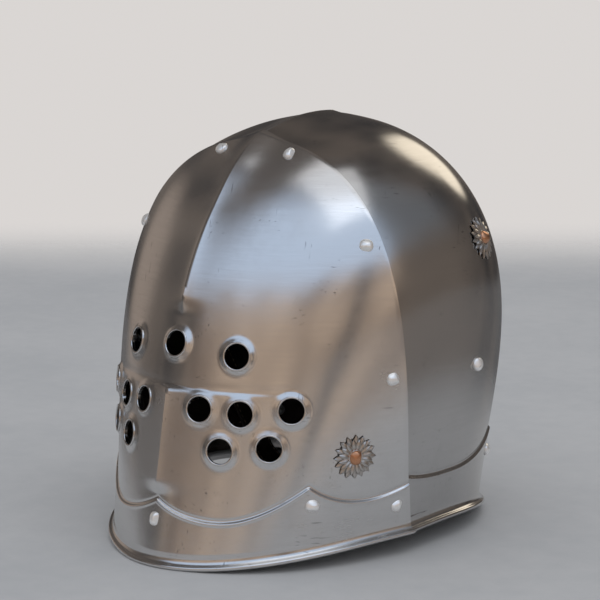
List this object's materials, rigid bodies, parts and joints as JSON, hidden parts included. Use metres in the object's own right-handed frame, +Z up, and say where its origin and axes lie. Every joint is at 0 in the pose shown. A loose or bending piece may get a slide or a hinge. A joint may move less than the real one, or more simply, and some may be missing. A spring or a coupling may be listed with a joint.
{
  "type": "knight helmet",
  "caption": "Riveted steel knight helmet with a keeled face plate with breathing holes, a rounded skull, rosette rivets, a flared beaded rim, padded liner and buckled chin strap.",
  "frame": {"origin": "centre of the helmet's bounding box on the surface the rim stands on", "axes": "+Z up to the crown, -Y is the face, +Y the back of the head, +X the wearer's left"},
  "size_m": [0.2412, 0.2848, 0.2673],
  "materials": {
    "plate_steel": "satin brushed, lightly planished",
    "rivet_steel": "bright polished domes",
    "burr_steel": "plain",
    "copper": "polished copper, slightly darkened",
    "dark_steel": "antique darkened steel",
    "leather": "smooth dyed leather",
    "liner_fabric": "quilted dark linen",
    "buckle_steel": "plain steel"
  },
  "bodies": {
    "helmet": {"face_plate": "plate_steel", "skull_plate": "plate_steel", "seam_rivets_left": "rivet_steel", "seam_rivets_right": "rivet_steel", "seam_rivet_burrs": "burr_steel", "border_rivets": "rivet_steel", "border_rivet_burrs": "burr_steel", "cheek_rosette_left": "dark_steel", "cheek_rosette_right": "dark_steel", "temple_rosette_left": "dark_steel", "temple_rosette_right": "dark_steel", "rosette_rivets": "copper", "rosette_rivet_burrs": "burr_steel", "lining_band_front": "leather", "lining_band_rear": "leather", "padded_liner": "liner_fabric", "strap_rivet_left": "rivet_steel", "strap_rivet_right": "rivet_steel", "strap_washers": "burr_steel"},
    "strap_left": {"chin_strap_left": "leather", "strap_keeper": "leather", "strap_loop_rivet": "copper"},
    "buckle": {"buckle_frame": "buckle_steel"},
    "prong": {"buckle_prong": "buckle_steel"},
    "strap_right": {"chin_strap_right": "leather"}
  },
  "joints": [
    {"name": "strap_left_swing", "type": "hinge", "parent": "helmet", "child": "strap_left", "pos_m": [0.1124, 0.03775, 0.11245], "axis": [1, 0, 0], "range_deg": [-30, 6]},
    {"name": "strap_right_swing", "type": "hinge", "parent": "helmet", "child": "strap_right", "pos_m": [-0.1124, 0.03775, 0.11245], "axis": [1, 0, 0], "range_deg": [-30, 6]},
    {"name": "buckle_turn", "type": "hinge", "parent": "strap_left", "child": "buckle", "pos_m": [0.0475, 0.06773, 0.00792], "axis": [0, 0.9613, 0.2756], "range_deg": [0, 40]},
    {"name": "prong_turn", "type": "hinge", "parent": "buckle", "child": "prong", "pos_m": [0.0475, 0.06773, 0.00792], "axis": [0, 0.9613, 0.2756], "range_deg": [0, 70]}
  ]
}
